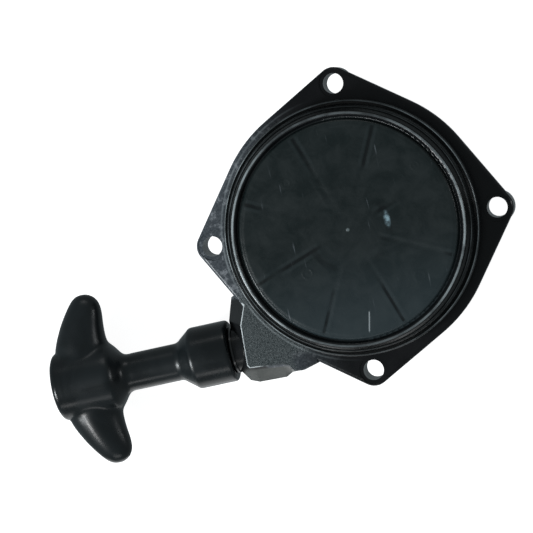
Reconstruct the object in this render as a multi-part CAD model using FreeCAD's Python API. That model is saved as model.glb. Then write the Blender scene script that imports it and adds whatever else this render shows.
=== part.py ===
"""Recoil starter for a small two-stroke engine.

Frame: millimetres. The origin is on the reel axis, in the plane where the four ears seat on the engine.
+Z points away from the engine, out of the closed face of the case. The rope is pulled out along -X.
Each function makes one sub-part, and each sub-part is written to parts/NAME.step.
"""

import FreeCAD
import Part

import math
import os

V = FreeCAD.Vector
X_AXIS = V(1, 0, 0)
Z_AXIS = V(0, 0, 1)
ORIGIN = V(0, 0, 0)
SAME_POINT = 1e-6

# ---- Mounting ears and flange -------------------------------------------------------------------
BOLT_SQUARE = 80.0                            # hole to hole along the side of the square
BOLT_CIRCLE_R = BOLT_SQUARE / math.sqrt(2)
BOLT_TURN = -4.7                              # degrees from +X to the first hole
BOLT_ANGLES = [BOLT_TURN + 90.0 * i for i in range(4)]
HOLE_R = 4.0
EAR_R = 6.4
SPOT_FACE_R = 5.6
SPOT_FACE_DEPTH = 0.4
FLANGE_R = 54.0                               # the round stretches between the ears
FLANGE_FRONT = 13.6
FLANGE_THICK = 3.6
FLANGE_REAR = FLANGE_FRONT - FLANGE_THICK
FLANGE_ROUND = 1.5

# ---- Case drum ----------------------------------------------------------------------------------
DRUM_R = 49.9
DRUM_SHOULDER = 21.4                          # height where the outer wall turns inwards
WALL = 2.8
BORE_R = DRUM_R - WALL
SPIGOT_R = 49.0
SPIGOT_REAR = -12.0
SPIGOT_FRONT = -6.0
LEDGE_R = 48.3                                # inner edge of the narrow ledge on the shoulder
STEP_R = 47.6                                 # the wall between the ledge and the rim
STEP_TOP = 26.9
RIM_R = 44.8                                  # crest of the raised rim round the face
RIM_TOP = 32.0
FACE_R = 42.4                                 # the face disc inside the groove
FACE_TOP = 31.3
GROOVE_FLOOR = 30.0
CEILING = 28.4                                # underside of the face
CEILING_RIBS = 8
RIB_TURN = 19.0                               # degrees from +X to the first ceiling rib
RIB_THICK = 1.8
RIB_FOOT = 24.0                               # the spring case seats against the ribs here
RIB_INNER_R = 15.0
RIB_OUTER_R = 42.0
LUG_REAR = 17.0                               # the ribs' outer ends reach back to here, round the cup

# ---- Centre post --------------------------------------------------------------------------------
POST_R = 6.0
POST_END = -6.8
POST_ROOT_R = 9.0
POST_ROOT_END = 24.6
SCREW_R = 3.0
SCREW_DEPTH = 18.0

# ---- Rope and its line --------------------------------------------------------------------------
ROPE_R = 1.75
ROPE_Y = -37.8                                # the rope leaves the reel at this radius
ROPE_Z = 3.0
ROPE_PITCH = 2 * ROPE_R + 0.1
ROPE_HALF_TURNS = 7

# ---- Rope outlet on the side of the drum --------------------------------------------------------
OUTLET_TOP = FLANGE_FRONT
OUTLET_KNEE = 5.0                             # the sides lean in from here to the top
OUTLET_REAR = -5.8
# Corners of the outlet, paired: (x, y) at the top and at the knee.
OUTLET_CORNERS = [((-40.0, -13.0), (-44.0, -12.0)), ((-49.4, -20.5), (-55.0, -16.9)),
                  ((-52.5, -28.1), (-58.0, -26.0)), ((-53.4, -44.4), (-58.0, -46.0)),
                  ((-52.7, -45.5), (-54.6, -50.9)), ((-50.4, -45.7), (-51.2, -52.3)),
                  ((-39.4, -47.0), (-40.2, -52.6)), ((-36.9, -47.9), (-37.6, -51.2)),
                  ((-35.2, -50.3), (-35.4, -51.2)), ((-32.4, -50.7), (-32.4, -51.3)),
                  ((-25.4, -49.0), (-25.4, -49.4)), ((-18.0, -28.0), (-18.0, -28.0))]
OUTLET_MIDDLE = (-42.0, -34.0)
OUTLET_BEVEL = 0.6
OUTLET_PAD_R = 8.6
OUTLET_FACE = -58.0                           # the guide's flange seats here
CHANNEL_HALF = 4.4
CHANNEL_ROOF = 7.4
CHANNEL_END = -50.5

# ---- Rope guide ---------------------------------------------------------------------------------
GUIDE_BORE_R = 2.6
GUIDE_R = 4.4
GUIDE_FLANGE_R = 9.4
GUIDE_FLANGE = 1.2
GUIDE_LENGTH = 9.0

# ---- Reel ---------------------------------------------------------------------------------------
REEL_R = 45.0
REEL_FLANGE = 1.5
GROOVE_HALF = 2.6
GROOVE_R = 24.6
REEL_REAR = ROPE_Z - GROOVE_HALF - REEL_FLANGE
REEL_FRONT = ROPE_Z + GROOVE_HALF + REEL_FLANGE
HUB_R = 13.0
HUB_FRONT = 23.6
BUSH_R = 8.0
BUSH_BORE_R = POST_R + 0.05
POCKET_IN_R = 15.5
POCKET_OUT_R = 22.6
POCKET_WEB = 2.2
REEL_RIBS = 6
REEL_RIB_THICK = 1.8
REEL_WINDOWS = 6                              # round windows in the rear flange
REEL_WINDOW_R = 4.5
REEL_WINDOW_AT = 34.0
SPRING_WELL_R = 11.6                          # recess in the rear of the hub for the return spring
SPRING_WELL_DEPTH = 4.2

# ---- Recoil spring and its case -----------------------------------------------------------------
STRIP_THICK = 0.6
STRIP_REAR = 9.6
STRIP_WIDTH = 12.6
STRIP_OUTER_R = 38.8
STRIP_PITCH = 2.55
STRIP_HALF_TURNS = 18
SPRING_CASE_R = 41.6
SPRING_CASE_WALL = 0.8
SPRING_CASE_REAR = 8.6
SPRING_CASE_FRONT = RIB_FOOT - 0.05
SPRING_CASE_HOLE_R = HUB_R + 1.2
HOOK_GAP = 0.5

# ---- Pawls and the plate that swings them -------------------------------------------------------
PAWL_PIVOT_R = 16.5
PAWL_SWING = 25.0                             # degrees, and the guide plate lags by the same angle
PAWL_FRONT = REEL_REAR - 0.3
PAWL_REAR = PAWL_FRONT - 3.5
PAWL_ARM = 14.0
PAWL_HUB_R = 3.4
PIN_R = 1.6
PIN_CLEAR = 0.08
PIN_SINK = 5.0
FOLLOWER_AT = V(0.5, -7.0, 0)                 # from the pivot, at rest
FOLLOWER_R = 1.2
FOLLOWER_CLEAR = 0.4
PLATE_FRONT = PAWL_REAR - 0.4
PLATE_THICK = 1.1
PLATE_REAR = PLATE_FRONT - PLATE_THICK
PLATE_R = 12.0
PLATE_LOBE_R = 24.2
WASHER_R = 9.0
WASHER_THICK = 1.0
SCREW_HEAD_R = 5.6
SCREW_HEAD = 2.8
HEX_SOCKET_FLAT = 4.0
WIRE_R = 0.45
RETURN_COIL_R = 10.4
RETURN_COIL_TURNS = 2.4
RETURN_COIL_HEIGHT = 2.6
RETURN_LEG_OUT = 13.3
FRICTION_COIL_R = 7.0
FRICTION_COIL_TURNS = 3.0
FRICTION_COIL_HEIGHT = 4.5
COIL_GAP = 0.1

# ---- Pull grip, along -X from the outlet --------------------------------------------------------
COLLAR_X = -59.3
COLLAR_R = 12.35
COLLAR_LENGTH = 15.9
COLLAR_ROUND = 1.3
CONE_X = COLLAR_X - COLLAR_LENGTH
STEM_X = -81.6
STEM_R = 7.45
STEM_END = -102.6
SHOULDER_X = -107.8
HUB_GRIP_R = 13.7
HUB_FULL_X = -109.5
HUB_END_X = -130.8
GRIP_END = -132.3
CAP_THICK = 1.4
CAP_R = 11.8
CAP_STUB_R = 6.4
CAP_STUB = 4.0
KNOT_POCKET_R = 6.5
KNOT_POCKET_END = -117.0
KNOT_R = 3.2
KNOT_X = -122.6
ROPE_END_X = -125.4
GRIP_BORE_R = 2.3
# Wing sections: distance from the stem axis, middle in x, half width in x, half thickness in z.
WING_SECTIONS = [(2.0, -120.4, 10.8, 9.6), (8.5, -120.3, 10.8, 9.2), (15.0, -119.7, 10.7, 8.7),
                 (20.0, -118.6, 9.7, 7.9), (25.0, -117.0, 8.7, 7.0), (29.0, -115.6, 7.4, 6.0),
                 (31.5, -115.0, 6.1, 5.0), (33.6, -114.9, 4.2, 3.5), (34.9, -115.0, 1.8, 1.5)]


def polar(radius, degrees, z=0.0):
    """A point at this radius and angle round the reel axis."""
    turn = math.radians(degrees)
    return V(radius * math.cos(turn), radius * math.sin(turn), z)


def turned(shape, degrees):
    """A copy of the shape, turned about the reel axis."""
    copy = shape.copy()
    copy.rotate(ORIGIN, Z_AXIS, degrees)
    return copy


def disc(radius, rear, front, centre=ORIGIN):
    """A round solid along Z between two heights."""
    return Part.makeCylinder(radius, front - rear, V(centre.x, centre.y, rear), Z_AXIS)


def ring(outer, inner, rear, front, centre=ORIGIN):
    """A tube along Z between two heights."""
    return disc(outer, rear, front, centre).cut(disc(inner, rear - 1, front + 1, centre))


def along_rope(radius, start, end):
    """A round solid on the rope line between two values of x."""
    low, high = sorted((start, end))
    return Part.makeCylinder(radius, high - low, V(low, ROPE_Y, ROPE_Z), X_AXIS)


def box(low, high):
    """A block between two corners."""
    return Part.makeBox(high[0] - low[0], high[1] - low[1], high[2] - low[2], V(*low))


def outline_wire(steps):
    """A closed wire. A step is a point, or (middle, end) for an arc that ends at end."""
    edges = []
    here = steps[0]
    for step in steps[1:] + [steps[0]]:
        if isinstance(step, tuple):
            edges.append(Part.Arc(here, step[0], step[1]).toShape())
            here = step[1]
        elif (step - here).Length > SAME_POINT:
            edges.append(Part.LineSegment(here, step).toShape())
            here = step
    return Part.Wire(edges)


def revolved(profile):
    """A solid of revolution about the reel axis from (radius, z) steps."""
    def place(pair):
        return V(pair[0], 0, pair[1])
    steps = [(place(s[0]), place(s[1])) if isinstance(s[0], tuple) else place(s) for s in profile]
    return Part.Face(outline_wire(steps)).revolve(ORIGIN, Z_AXIS, 360)


def revolved_on_rope(profile):
    """A solid of revolution about the rope line from (x, radius) steps."""
    def place(pair):
        return V(pair[0], ROPE_Y + pair[1], ROPE_Z)
    steps = [(place(s[0]), place(s[1])) if isinstance(s[0], tuple) else place(s) for s in profile]
    return Part.Face(outline_wire(steps)).revolve(V(0, ROPE_Y, ROPE_Z), X_AXIS, 360)


def flat_polygon(points, z):
    """A closed wire through (x, y) points at one height."""
    return outline_wire([V(x, y, z) for x, y in points])


# ---- Case ---------------------------------------------------------------------------------------

def flange_plate():
    """The plate with four ears: round stretches joined to the ear corners by straight tangents."""
    tangent = math.degrees(math.acos((FLANGE_R - EAR_R) / BOLT_CIRCLE_R))
    steps = []
    for angle in BOLT_ANGLES:
        ear = polar(BOLT_CIRCLE_R, angle, FLANGE_REAR)
        ear_start = ear + polar(EAR_R, angle - tangent)
        ear_end = ear + polar(EAR_R, angle + tangent)
        arc_start = polar(FLANGE_R, angle + tangent, FLANGE_REAR)
        arc_end = polar(FLANGE_R, angle + 90 - tangent, FLANGE_REAR)
        steps.append(ear_start)
        steps.append((ear + polar(EAR_R, angle), ear_end))
        steps.append(arc_start)
        steps.append((polar(FLANGE_R, angle + 45, FLANGE_REAR), arc_end))
    plate = Part.Face(outline_wire(steps)).extrude(V(0, 0, FLANGE_THICK))
    rim = [e for e in plate.Edges if e.BoundBox.ZMin > FLANGE_FRONT - 0.01]
    return plate.makeFillet(FLANGE_ROUND, rim)


def drum_outside():
    """The outer form of the drum: rounded shoulder with a ledge, raised rim, groove and flat face."""
    return revolved([
        (0, SPIGOT_REAR),
        (SPIGOT_R - 0.6, SPIGOT_REAR),
        (SPIGOT_R, SPIGOT_REAR + 0.6),
        (SPIGOT_R, SPIGOT_FRONT),
        (DRUM_R, SPIGOT_FRONT),
        (DRUM_R, DRUM_SHOULDER),
        ((DRUM_R - 0.2, DRUM_SHOULDER + 0.8), (DRUM_R - 0.8, DRUM_SHOULDER + 1.3)),
        (LEDGE_R, DRUM_SHOULDER + 1.8),
        (STEP_R, STEP_TOP),
        ((STEP_R - 0.35, STEP_TOP + 0.9), (STEP_R - 1.0, STEP_TOP + 1.5)),
        (RIM_R + 0.9, RIM_TOP - 0.8),
        ((RIM_R + 0.1, RIM_TOP), (RIM_R - 0.9, RIM_TOP - 0.5)),
        (RIM_R - 1.4, GROOVE_FLOOR + 0.4),
        ((RIM_R - 1.8, GROOVE_FLOOR), (FACE_R + 0.15, GROOVE_FLOOR + 0.35)),
        ((FACE_R - 0.35, FACE_TOP - 0.25), (FACE_R - 1.4, FACE_TOP)),
        (0, FACE_TOP),
    ])


def drum_inside():
    """The space inside the drum, round the post."""
    return revolved([
        (POST_R, SPIGOT_REAR - 1),
        (BORE_R, SPIGOT_REAR - 1),
        (BORE_R, DRUM_SHOULDER - 2.2),
        ((BORE_R - 1.3, DRUM_SHOULDER + 0.9), (BORE_R - 4.6, CEILING)),
        (POST_ROOT_R, CEILING),
        (POST_ROOT_R, POST_ROOT_END),
        (POST_R, POST_ROOT_END - 0.8),
    ])


def drawn_in(point, middle, distance):
    """A point moved towards a middle point."""
    step = V(middle[0] - point[0], middle[1] - point[1], 0).normalize() * distance
    return (point[0] + step.x, point[1] + step.y)


def outlet_outside():
    """The block that carries the rope guide: leaning sides above the knee, bevelled top edge, round pad."""
    knee = [pair[1] for pair in OUTLET_CORNERS]
    edge = [pair[0] for pair in OUTLET_CORNERS]
    top = [drawn_in(corner, OUTLET_MIDDLE, OUTLET_BEVEL) for corner in edge]
    edge_z = OUTLET_TOP - OUTLET_BEVEL
    block = Part.makeLoft([flat_polygon(knee, OUTLET_KNEE), flat_polygon(edge, edge_z)], True, True)
    bevel = Part.makeLoft([flat_polygon(edge, edge_z), flat_polygon(top, OUTLET_TOP)], True, True)
    lower = Part.Face(flat_polygon(knee, OUTLET_REAR)).extrude(V(0, 0, OUTLET_KNEE - OUTLET_REAR))
    return block.fuse([bevel, lower, along_rope(OUTLET_PAD_R, OUTLET_FACE, -50.0)])


def outlet_inside():
    """The window in the drum wall and the rope channel behind it, which is open to the rear."""
    side = CHANNEL_HALF
    channel = box((CHANNEL_END, ROPE_Y - side, SPIGOT_REAR - 1), (-20.0, ROPE_Y + side, CHANNEL_ROOF))
    channel = channel.cut(disc(DRUM_R, SPIGOT_REAR - 2, ROPE_Z - side))
    hole = along_rope(GUIDE_R + 0.02, -60.0, -40.0)
    return channel.fuse(hole)


def ceiling_ribs():
    """Radial ribs under the face, with lugs at their ends, which hold the spring case."""
    ribs = []
    for i in range(CEILING_RIBS):
        low = (RIB_INNER_R, -RIB_THICK / 2, RIB_FOOT)
        high = (RIB_OUTER_R, RIB_THICK / 2, CEILING + 0.8)
        lug_low = (SPRING_CASE_R + 0.1, -RIB_THICK / 2, LUG_REAR)
        lug_high = (BORE_R + 0.6, RIB_THICK / 2, DRUM_SHOULDER)
        rib = box(low, high).fuse(box(lug_low, lug_high))
        ribs.append(turned(rib, RIB_TURN + i * 360 / CEILING_RIBS))
    return ribs


def starter_case():
    """The case: drum, flange with four ears, rope outlet and centre post, cast in one piece."""
    outside = drum_outside().fuse(flange_plate())
    outside = outside.fuse([disc(EAR_R, 0, FLANGE_REAR + 1, polar(BOLT_CIRCLE_R, a)) for a in BOLT_ANGLES])
    outside = outside.fuse(outlet_outside())
    case = outside.cut(drum_inside())
    case = case.cut(disc(POST_R + 0.1, SPIGOT_REAR - 1, POST_END))
    case = case.cut(outlet_inside())
    case = case.fuse(ceiling_ribs())
    case = case.cut(disc(SCREW_R, POST_END - 1, POST_END + SCREW_DEPTH))
    for angle in BOLT_ANGLES:
        ear = polar(BOLT_CIRCLE_R, angle)
        case = case.cut(disc(HOLE_R, -1, FLANGE_FRONT + 1, ear))
        case = case.cut(disc(SPOT_FACE_R, FLANGE_FRONT - SPOT_FACE_DEPTH, FLANGE_FRONT + 1, ear))
    return case.removeSplitter()


def rope_guide():
    """The flanged eyelet that the rope runs through."""
    flange_x = OUTLET_FACE - GUIDE_FLANGE
    return revolved_on_rope([
        (OUTLET_FACE + GUIDE_LENGTH, GUIDE_BORE_R + 0.9),
        (OUTLET_FACE + GUIDE_LENGTH, GUIDE_R),
        (OUTLET_FACE, GUIDE_R),
        (OUTLET_FACE, GUIDE_FLANGE_R),
        (flange_x + 0.5, GUIDE_FLANGE_R),
        ((flange_x + 0.15, GUIDE_FLANGE_R - 0.15), (flange_x, GUIDE_FLANGE_R - 0.5)),
        (flange_x, GUIDE_BORE_R + 1.0),
        ((flange_x + 0.3, GUIDE_BORE_R + 0.3), (flange_x + 1.0, GUIDE_BORE_R)),
        (OUTLET_FACE + GUIDE_LENGTH - 0.9, GUIDE_BORE_R),
    ])


# ---- Recoil spring ------------------------------------------------------------------------------

def spiral_arcs(start_r, pitch, half_turns, start_angle):
    """Half circles that wind inwards anticlockwise from start_r: (centre, radius, start angle) for each."""
    arcs = []
    for i in range(half_turns):
        centre = ORIGIN if i % 2 == 0 else polar(pitch / 2, start_angle + 180)
        arcs.append((centre, start_r - i * pitch / 2, start_angle + 180 * i))
    return arcs


def arc_edges(arcs, offset, z):
    """Edges along the half circles, moved outwards by an offset."""
    edges = []
    for centre, radius, angle in arcs:
        points = [centre + polar(radius + offset, angle + step, z) for step in (0, 90, 180)]
        edges.append(Part.Arc(*points).toShape())
    return edges


def recoil_spring():
    """The flat spiral spring: its outer hook is held in the spring case and its inner hook in the reel hub."""
    arcs = spiral_arcs(STRIP_OUTER_R, STRIP_PITCH, STRIP_HALF_TURNS, 0)
    half = STRIP_THICK / 2
    outer = arc_edges(arcs, half, STRIP_REAR)
    inner = arc_edges(arcs, -half, STRIP_REAR)
    outer_end = V(STRIP_OUTER_R, 0, STRIP_REAR)
    last_centre, last_r, last_angle = arcs[-1]
    inner_end = last_centre + polar(last_r, last_angle + 180, STRIP_REAR)
    across = X_AXIS * half
    side = 1 if inner_end.x > 0 else -1
    ends = [
        Part.LineSegment(outer_end - across, outer_end + across).toShape(),
        Part.LineSegment(inner_end - across, inner_end + across).toShape(),
    ]
    strip = Part.Face(Part.Wire(Part.__sortEdges__(outer + inner + ends))).extrude(V(0, 0, STRIP_WIDTH))
    top = STRIP_REAR + STRIP_WIDTH
    outer_hook = box((STRIP_OUTER_R - half, 0, STRIP_REAR), (SPRING_CASE_R + 1.2, STRIP_THICK, top))
    hook_root = sorted((side * (HUB_R - 1.6), inner_end.x))
    inner_hook = box((hook_root[0], -STRIP_THICK, STRIP_REAR), (hook_root[1], 0.0, top))
    return strip.fuse([outer_hook, inner_hook]).removeSplitter()


def spring_case():
    """The pressed steel cup round the spring, slotted for the outer hook."""
    cup = disc(SPRING_CASE_R, SPRING_CASE_REAR, SPRING_CASE_FRONT)
    inner_r = SPRING_CASE_R - SPRING_CASE_WALL
    cup = cup.cut(disc(inner_r, SPRING_CASE_REAR - 1, SPRING_CASE_FRONT - SPRING_CASE_WALL))
    cup = cup.cut(disc(SPRING_CASE_HOLE_R, 0, SPRING_CASE_FRONT + 1))
    slot_low = (inner_r - 1, -HOOK_GAP, SPRING_CASE_REAR - 1)
    slot_high = (SPRING_CASE_R + 1, STRIP_THICK + HOOK_GAP, SPRING_CASE_FRONT - SPRING_CASE_WALL)
    return cup.cut(box(slot_low, slot_high))


# ---- Reel ---------------------------------------------------------------------------------------

def pawl_places():
    """Angles of the two pawl pivots."""
    return (0.0, 180.0)


def knot_pocket_centre():
    """The middle of the pocket that holds the knot at the inner end of the rope."""
    return V(-9.5, 17.6, 0)


def rope_tail_start():
    """Where the last half circle of the rope ends, and the tail into the pocket begins."""
    centre, radius, angle = spiral_arcs(-ROPE_Y, ROPE_PITCH, ROPE_HALF_TURNS, -90)[-1]
    return centre + polar(radius, angle + 180, ROPE_Z)


def tail_cylinder(radius):
    """A round solid from the end of the windings to the middle of the knot."""
    start = rope_tail_start()
    end = knot_pocket_centre() + V(0, 0, ROPE_Z)
    return Part.makeCylinder(radius, (end - start).Length, start, end - start)


def rope_reel():
    """The moulded reel: rope groove, ribbed web, long hub for the spring and seats for the pawl pins."""
    body = disc(REEL_R, REEL_REAR, REEL_FRONT)
    body = body.cut(ring(REEL_R + 1, GROOVE_R, ROPE_Z - GROOVE_HALF, ROPE_Z + GROOVE_HALF))
    body = body.cut(ring(POCKET_OUT_R, POCKET_IN_R, REEL_REAR - 1, REEL_FRONT - POCKET_WEB))
    depth = REEL_FRONT - POCKET_WEB
    ribs = [turned(box((HUB_R, -REEL_RIB_THICK / 2, REEL_REAR), (POCKET_OUT_R + 1, REEL_RIB_THICK / 2, depth)),
                   30 + i * 360 / REEL_RIBS) for i in range(REEL_RIBS)]
    bosses = [disc(PAWL_HUB_R, REEL_REAR, depth, polar(PAWL_PIVOT_R, a)) for a in pawl_places()]
    body = body.fuse(ribs + bosses + [disc(HUB_R, REEL_FRONT - 0.5, HUB_FRONT)])
    pocket = knot_pocket_centre()
    body = body.fuse(disc(KNOT_R + 1.6, REEL_REAR, depth, pocket).common(disc(GROOVE_R, REEL_REAR, depth)))
    body = body.cut(disc(KNOT_R + 0.3, REEL_REAR - 1, ROPE_Z + KNOT_R + 0.1, pocket))
    body = body.cut(tail_cylinder(ROPE_R + 0.3))
    body = body.cut(disc(BUSH_R, REEL_REAR - 1, HUB_FRONT + 1))
    body = body.cut(disc(SPRING_WELL_R, REEL_REAR - 1, REEL_REAR + SPRING_WELL_DEPTH))
    for i in range(REEL_WINDOWS):
        window = polar(REEL_WINDOW_AT, 15 + i * 360 / REEL_WINDOWS)
        body = body.cut(disc(REEL_WINDOW_R, REEL_REAR - 1, REEL_REAR + REEL_FLANGE + 0.1, window))
    for angle in pawl_places():
        body = body.cut(disc(PIN_R, REEL_REAR - 1, REEL_REAR + PIN_SINK, polar(PAWL_PIVOT_R, angle)))
    notch_side = STRIP_THICK + HOOK_GAP
    notch_ends = sorted((hook_side() * (HUB_R - 2.2), hook_side() * (HUB_R + 1)))
    notch = box((notch_ends[0], -notch_side, REEL_FRONT), (notch_ends[1], HOOK_GAP, HUB_FRONT + 1))
    body = body.cut(notch)
    leg_slot = box((SPRING_WELL_R - 1, -0.8, REEL_REAR - 1),
                   (RETURN_LEG_OUT + 0.4, 0.8, REEL_REAR + SPRING_WELL_DEPTH))
    return body.cut(turned(leg_slot, return_leg_angle())).removeSplitter()


def hook_side():
    """+1 or -1: the side of the hub where the inner end of the recoil spring lies."""
    return 1 if STRIP_HALF_TURNS % 2 == 0 else -1


def bush_rear():
    """The height of the bush's rear end, in the spring well, where the friction spring seats."""
    return PLATE_FRONT + FRICTION_COIL_HEIGHT + 2 * (WIRE_R + COIL_GAP)


def reel_bush():
    """The sleeve pressed into the reel, which turns on the post."""
    return ring(BUSH_R, BUSH_BORE_R, bush_rear(), HUB_FRONT)


def rope_windings():
    """The rope on the reel, one turn on another, and its tail into the knot pocket."""
    arcs = spiral_arcs(-ROPE_Y, ROPE_PITCH, ROPE_HALF_TURNS, -90)
    path = Part.Wire(arc_edges(arcs, 0, ROPE_Z))
    start = V(0, ROPE_Y, ROPE_Z)
    section = Part.Wire(Part.makeCircle(ROPE_R, start, X_AXIS))
    coil = path.makePipeShell([section], True, True)
    bend = Part.makeSphere(ROPE_R, rope_tail_start())
    tail = tail_cylinder(ROPE_R).cut(Part.makeSphere(KNOT_R, knot_pocket_centre() + V(0, 0, ROPE_Z)))
    return coil.fuse([bend, tail]).removeSplitter()


def reel_knot():
    """The knot at the inner end of the rope."""
    return Part.makeSphere(KNOT_R, knot_pocket_centre() + V(0, 0, ROPE_Z))


def pawl_pins():
    """The two steel pins that the pawls turn on."""
    return [disc(PIN_R, PAWL_REAR - 0.2, REEL_REAR + PIN_SINK, polar(PAWL_PIVOT_R, a)) for a in pawl_places()]


def coil(radius, rear, height, turns):
    """A round-wire coil about the reel axis, from +X at its rear end."""
    pitch = height / turns
    helix = Part.makeHelix(pitch, height, radius)
    section = Part.Wire(Part.makeCircle(WIRE_R, V(radius, 0, 0), V(0, radius, pitch / (2 * math.pi))))
    solid = Part.Wire(helix.Edges).makePipeShell([section], True, True)
    solid.translate(V(0, 0, rear))
    return solid


def wire_leg(start, end):
    """A straight end of wire with a ball at its root, where it leaves the coil."""
    leg = Part.makeCylinder(WIRE_R, (end - start).Length, start, end - start)
    return leg.fuse(Part.makeSphere(WIRE_R, start))


def return_leg_angle():
    """Where the return spring's inner leg lies, in degrees from +X."""
    return RETURN_COIL_TURNS * 360 % 360


def return_spring():
    """The torsion spring that draws the guide plate back: one leg in the reel, one in the plate."""
    rear = REEL_REAR + WIRE_R + COIL_GAP
    front = rear + RETURN_COIL_HEIGHT
    angle = return_leg_angle()
    reel_leg = wire_leg(polar(RETURN_COIL_R, angle, front), polar(RETURN_LEG_OUT, angle, front))
    plate_leg = wire_leg(V(RETURN_COIL_R, 0, rear), V(RETURN_COIL_R, 0, PLATE_REAR - 0.2))
    turns = coil(RETURN_COIL_R, rear, RETURN_COIL_HEIGHT, RETURN_COIL_TURNS)
    return turns.fuse([reel_leg, plate_leg]).removeSplitter()


def friction_spring():
    """The coil round the post that presses the guide plate against the washer."""
    rear = PLATE_FRONT + WIRE_R + COIL_GAP
    return coil(FRICTION_COIL_R, rear, FRICTION_COIL_HEIGHT, FRICTION_COIL_TURNS)


# ---- Pawls, guide plate and centre screw --------------------------------------------------------

def pawl():
    """One pawl at angle 0: a hub on its pin, a curved arm with a square tip and a follower pin behind."""
    pivot = polar(PAWL_PIVOT_R, 0)
    steps = [V(-3.4, 0.0), (V(0, 3.4), V(3.4, 0.0)),
             (V(3.6, -6.0), V(5.4, -10.6)), V(3.8, -PAWL_ARM), V(-0.6, -PAWL_ARM + 0.8),
             (V(-2.2, -7.0), V(-3.4, 0.0))]
    placed = [(pivot + s[0], pivot + s[1]) if isinstance(s, tuple) else pivot + s for s in steps]
    arm = Part.Face(outline_wire(placed)).extrude(V(0, 0, PAWL_FRONT - PAWL_REAR))
    arm.translate(V(0, 0, PAWL_REAR))
    follower = disc(FOLLOWER_R, PLATE_REAR - 0.3, PAWL_REAR + 0.5, pivot + FOLLOWER_AT)
    arm = arm.cut(disc(PIN_R + PIN_CLEAR, PAWL_REAR - 1, PAWL_FRONT + 1, pivot))
    return arm.fuse(follower).removeSplitter()


def follower_path(steps):
    """Where the follower pin runs in the guide plate as pawl and plate swing by equal angles."""
    pivot = polar(PAWL_PIVOT_R, 0)
    points = []
    for i in range(steps + 1):
        swing = PAWL_SWING * i / steps
        arm = V(FOLLOWER_AT)
        point = pivot + FreeCAD.Rotation(Z_AXIS, swing).multVec(arm)
        points.append(FreeCAD.Rotation(Z_AXIS, -swing).multVec(point))
    return points


def guide_plate():
    """The pressed plate whose two slots push the pawls out while friction holds it back."""
    path = follower_path(8)
    slot_r = FOLLOWER_R + FOLLOWER_CLEAR
    first = math.degrees(math.atan2(path[0].y, path[0].x))
    last = math.degrees(math.atan2(path[-1].y, path[-1].x))
    middle = (first + last) / 2
    lobe_half = abs(first - last) / 2 + 13
    wedge = Part.Face(outline_wire([ORIGIN, polar(PLATE_LOBE_R, middle - lobe_half),
                                    (polar(PLATE_LOBE_R, middle), polar(PLATE_LOBE_R, middle + lobe_half))]))
    lobe = wedge.extrude(V(0, 0, PLATE_THICK))
    lobe.translate(V(0, 0, PLATE_REAR))
    corners = [e for e in lobe.Edges if e.BoundBox.ZLength > PLATE_THICK / 2
               and e.BoundBox.Center.sub(V(0, 0, e.BoundBox.Center.z)).Length > 5]
    lobe = lobe.makeFillet(3.0, corners)
    holes = [disc(slot_r, PLATE_REAR - 1, PLATE_FRONT + 1, p) for p in path]
    for here, there in zip(path, path[1:]):
        step = there - here
        length = step.Length
        bar = Part.makeBox(length, 2 * slot_r, PLATE_THICK + 2, V(0, -slot_r, PLATE_REAR - 1))
        bar.rotate(ORIGIN, Z_AXIS, math.degrees(math.atan2(step.y, step.x)))
        bar.translate(V(here.x, here.y, 0))
        holes.append(bar)
    lobe = lobe.cut(holes[0].fuse(holes[1:]))
    plate = disc(PLATE_R, PLATE_REAR, PLATE_FRONT).fuse([lobe, turned(lobe, 180)])
    plate = plate.cut(disc(WIRE_R + 0.15, PLATE_REAR - 1, PLATE_FRONT + 1, V(RETURN_COIL_R, 0, 0)))
    return plate.cut(disc(POST_R + 0.15, PLATE_REAR - 1, PLATE_FRONT + 1)).removeSplitter()


def thrust_washer():
    """The washer between the post's end and the screw head."""
    return ring(WASHER_R, SCREW_R + 0.1, POST_END - WASHER_THICK, POST_END)


def centre_screw():
    """The socket-head screw that holds the reel on the post."""
    seat = POST_END - WASHER_THICK
    head = revolved([
        (0, seat - SCREW_HEAD), (SCREW_HEAD_R - 0.9, seat - SCREW_HEAD),
        ((SCREW_HEAD_R - 0.25, seat - SCREW_HEAD + 0.25), (SCREW_HEAD_R, seat - SCREW_HEAD + 0.9)),
        (SCREW_HEAD_R, seat), (0, seat),
    ])
    flats = [polar(HEX_SOCKET_FLAT / math.sqrt(3), 60 * i, seat - SCREW_HEAD) for i in range(6)]
    socket = Part.Face(outline_wire(flats)).extrude(V(0, 0, SCREW_HEAD * 0.6))
    shank = disc(SCREW_R - 0.04, seat, POST_END + SCREW_DEPTH - 2)
    return head.fuse(shank).cut(socket).removeSplitter()


# ---- Pull grip ----------------------------------------------------------------------------------

def grip_wing(side):
    """One wing of the T, swept back towards the stem; side is +1 or -1 along Y."""
    wires = []
    for out, middle, half_width, half_thick in WING_SECTIONS:
        centre = V(middle, ROPE_Y + side * out, ROPE_Z)
        oval = Part.Ellipse(V(half_width, 0, 0), V(0, half_thick, 0), ORIGIN).toShape()
        wire = Part.Wire(oval)
        wire.rotate(ORIGIN, X_AXIS, 90)
        wire.translate(centre)
        wires.append(wire)
    return Part.makeLoft(wires, True, False)


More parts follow.
